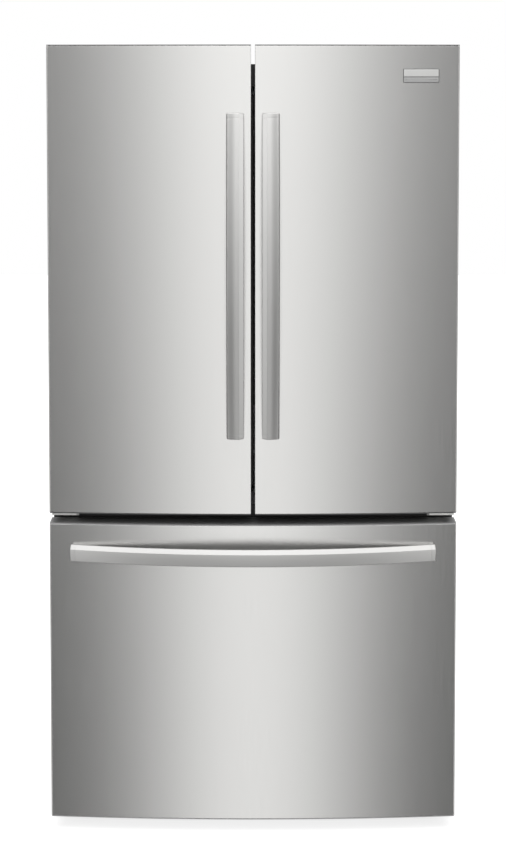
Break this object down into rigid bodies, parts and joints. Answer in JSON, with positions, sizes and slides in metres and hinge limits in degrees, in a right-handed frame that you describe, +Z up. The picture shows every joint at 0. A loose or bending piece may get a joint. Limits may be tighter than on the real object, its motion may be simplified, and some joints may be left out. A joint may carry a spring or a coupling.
{
  "type": "french door refrigerator",
  "caption": "Freestanding refrigerator with two curved upper doors that part in the middle, arched bar handles, and a wide freezer drawer below.",
  "frame": {"origin": "on the floor, at the middle of the refrigerator's width and depth", "axes": "+Z up, -Y is the front with the doors, +X to the right of someone facing it"},
  "size_m": [0.908, 0.787, 1.76],
  "materials": {
    "stainless": "brushed up and down, satin",
    "handle_steel": "brushed along its length, satin",
    "cap_plastic": "fine grain",
    "case_paint": "textured paint",
    "frame_paint": "satin black",
    "galvanised": "zinc-coated sheet",
    "zinc_plate": "bright zinc plating",
    "foam": "rigid foam",
    "liner_white": "smooth moulded",
    "gasket_rubber": "soft, matt",
    "clear_plastic": "clear moulded, slightly blue",
    "shelf_trim": "smooth moulded",
    "shelf_glass": "tempered, polished",
    "basket_white": "smooth moulded",
    "black_plastic": "fine grain",
    "grey_plastic": "fine grain",
    "black_enamel": "gloss black enamel",
    "coil_aluminium": "bare",
    "slide_steel": "zinc-plated",
    "roller_plastic": "hard nylon",
    "badge_metal": "blank satin plate"
  },
  "bodies": {
    "cabinet": {"cabinet_shell": "case_paint", "face_frame": "frame_paint", "rear_panel": "galvanised", "cabinet_foam": "foam", "fridge_liner": "liner_white", "freezer_liner": "liner_white", "base_frame": "galvanised", "toe_grille": "black_plastic", "leveling_legs": "slide_steel", "top_hinges": "zinc_plate", "hinge_covers": "cap_plastic", "center_hinges": "zinc_plate", "hinge_bushes": "black_plastic", "mullion_striker": "grey_plastic", "compressor": "black_enamel", "condenser_coil": "black_enamel", "fan_bracket": "grey_plastic", "machine_cover": "galvanised", "power_inlet": "black_plastic", "evaporator_coil": "coil_aluminium", "evaporator_cover": "liner_white", "control_panel": "shelf_trim", "shelf_tracks": "liner_white", "shelf_frames": "shelf_trim", "shelf_glass": "shelf_glass", "crisper_cover": "shelf_trim", "slides_fixed": "slide_steel"},
    "left_door": {"left_door_skin": "stainless", "left_door_foam": "foam", "left_door_liner": "liner_white", "left_door_gasket": "gasket_rubber", "left_door_caps": "cap_plastic", "left_door_handle": "handle_steel", "left_door_bins": "clear_plastic"},
    "right_door": {"right_door_skin": "stainless", "right_door_foam": "foam", "right_door_liner": "liner_white", "right_door_gasket": "gasket_rubber", "right_door_caps": "cap_plastic", "right_door_handle": "handle_steel", "right_door_bins": "clear_plastic", "badge_plate": "badge_metal"},
    "flipper": {"flipper_mullion": "black_plastic"},
    "dairy_lid": {"dairy_lid": "clear_plastic"},
    "drawer": {"drawer_skin": "stainless", "drawer_foam": "foam", "drawer_liner": "liner_white", "drawer_gasket": "gasket_rubber", "drawer_caps": "cap_plastic", "drawer_handle": "handle_steel", "slide_arms": "slide_steel", "lower_basket": "basket_white"},
    "middle_slides": {"slides_middle": "slide_steel"},
    "upper_basket": {"upper_basket": "basket_white"},
    "crisper_left": {"crisper_left": "clear_plastic"},
    "crisper_right": {"crisper_right": "clear_plastic"},
    "front_rollers": {"front_rollers": "roller_plastic"},
    "rear_rollers": {"rear_rollers": "roller_plastic"},
    "condenser_fan": {"condenser_fan": "black_plastic"},
    "evaporator_fan": {"evaporator_fan": "basket_white"}
  },
  "joints": [
    {"name": "left_door_swing", "type": "hinge", "parent": "cabinet", "child": "left_door", "pos_m": [-0.436, -0.2625, 0.72], "axis": [0, 0, -1], "range_deg": [0, 120]},
    {"name": "right_door_swing", "type": "hinge", "parent": "cabinet", "child": "right_door", "pos_m": [0.436, -0.2625, 0.72], "axis": [0, 0, 1], "range_deg": [0, 120]},
    {"name": "flipper_fold", "type": "hinge", "parent": "left_door", "child": "flipper", "pos_m": [-0.04, -0.2217, 0.7505], "axis": [0, 0, 1], "range_deg": [0, 90]},
    {"name": "dairy_lid_lift", "type": "hinge", "parent": "right_door", "child": "dairy_lid", "pos_m": [0.079, -0.2285, 1.46617], "axis": [1, 0, 0], "range_deg": [0, 80]},
    {"name": "drawer_slide", "type": "slide", "parent": "cabinet", "child": "drawer", "axis": [0, -1, 0], "range_m": [0, 0.42]},
    {"name": "middle_slide_travel", "type": "slide", "parent": "cabinet", "child": "middle_slides", "axis": [0, -1, 0], "range_m": [0, 0.21]},
    {"name": "upper_basket_slide", "type": "slide", "parent": "cabinet", "child": "upper_basket", "axis": [0, -1, 0], "range_m": [0, 0.21]},
    {"name": "crisper_left_slide", "type": "slide", "parent": "cabinet", "child": "crisper_left", "axis": [0, -1, 0], "range_m": [0, 0.038]},
    {"name": "crisper_right_slide", "type": "slide", "parent": "cabinet", "child": "crisper_right", "axis": [0, -1, 0], "range_m": [0, 0.038]},
    {"name": "front_rollers_roll", "type": "hinge", "parent": "cabinet", "child": "front_rollers", "pos_m": [0, -0.1505, 0.022], "axis": [1, 0, 0], "continuous": true},
    {"name": "rear_rollers_roll", "type": "hinge", "parent": "cabinet", "child": "rear_rollers", "pos_m": [0, 0.3315, 0.024], "axis": [1, 0, 0], "continuous": true},
    {"name": "condenser_fan_spin", "type": "hinge", "parent": "cabinet", "child": "condenser_fan", "pos_m": [0.036, 0.305, 0.165], "axis": [1, 0, 0], "continuous": true},
    {"name": "evaporator_fan_spin", "type": "hinge", "parent": "cabinet", "child": "evaporator_fan", "pos_m": [0, 0.2665, 0.5615], "axis": [0, 1, 0], "continuous": true}
  ],
  "couplings": [
    {"joint": "flipper_fold", "follows": "left_door_swing", "ratio": 0.75},
    {"joint": "middle_slide_travel", "follows": "drawer_slide", "ratio": 0.5},
    {"joint": "upper_basket_slide", "follows": "drawer_slide", "ratio": 0.5}
  ]
}
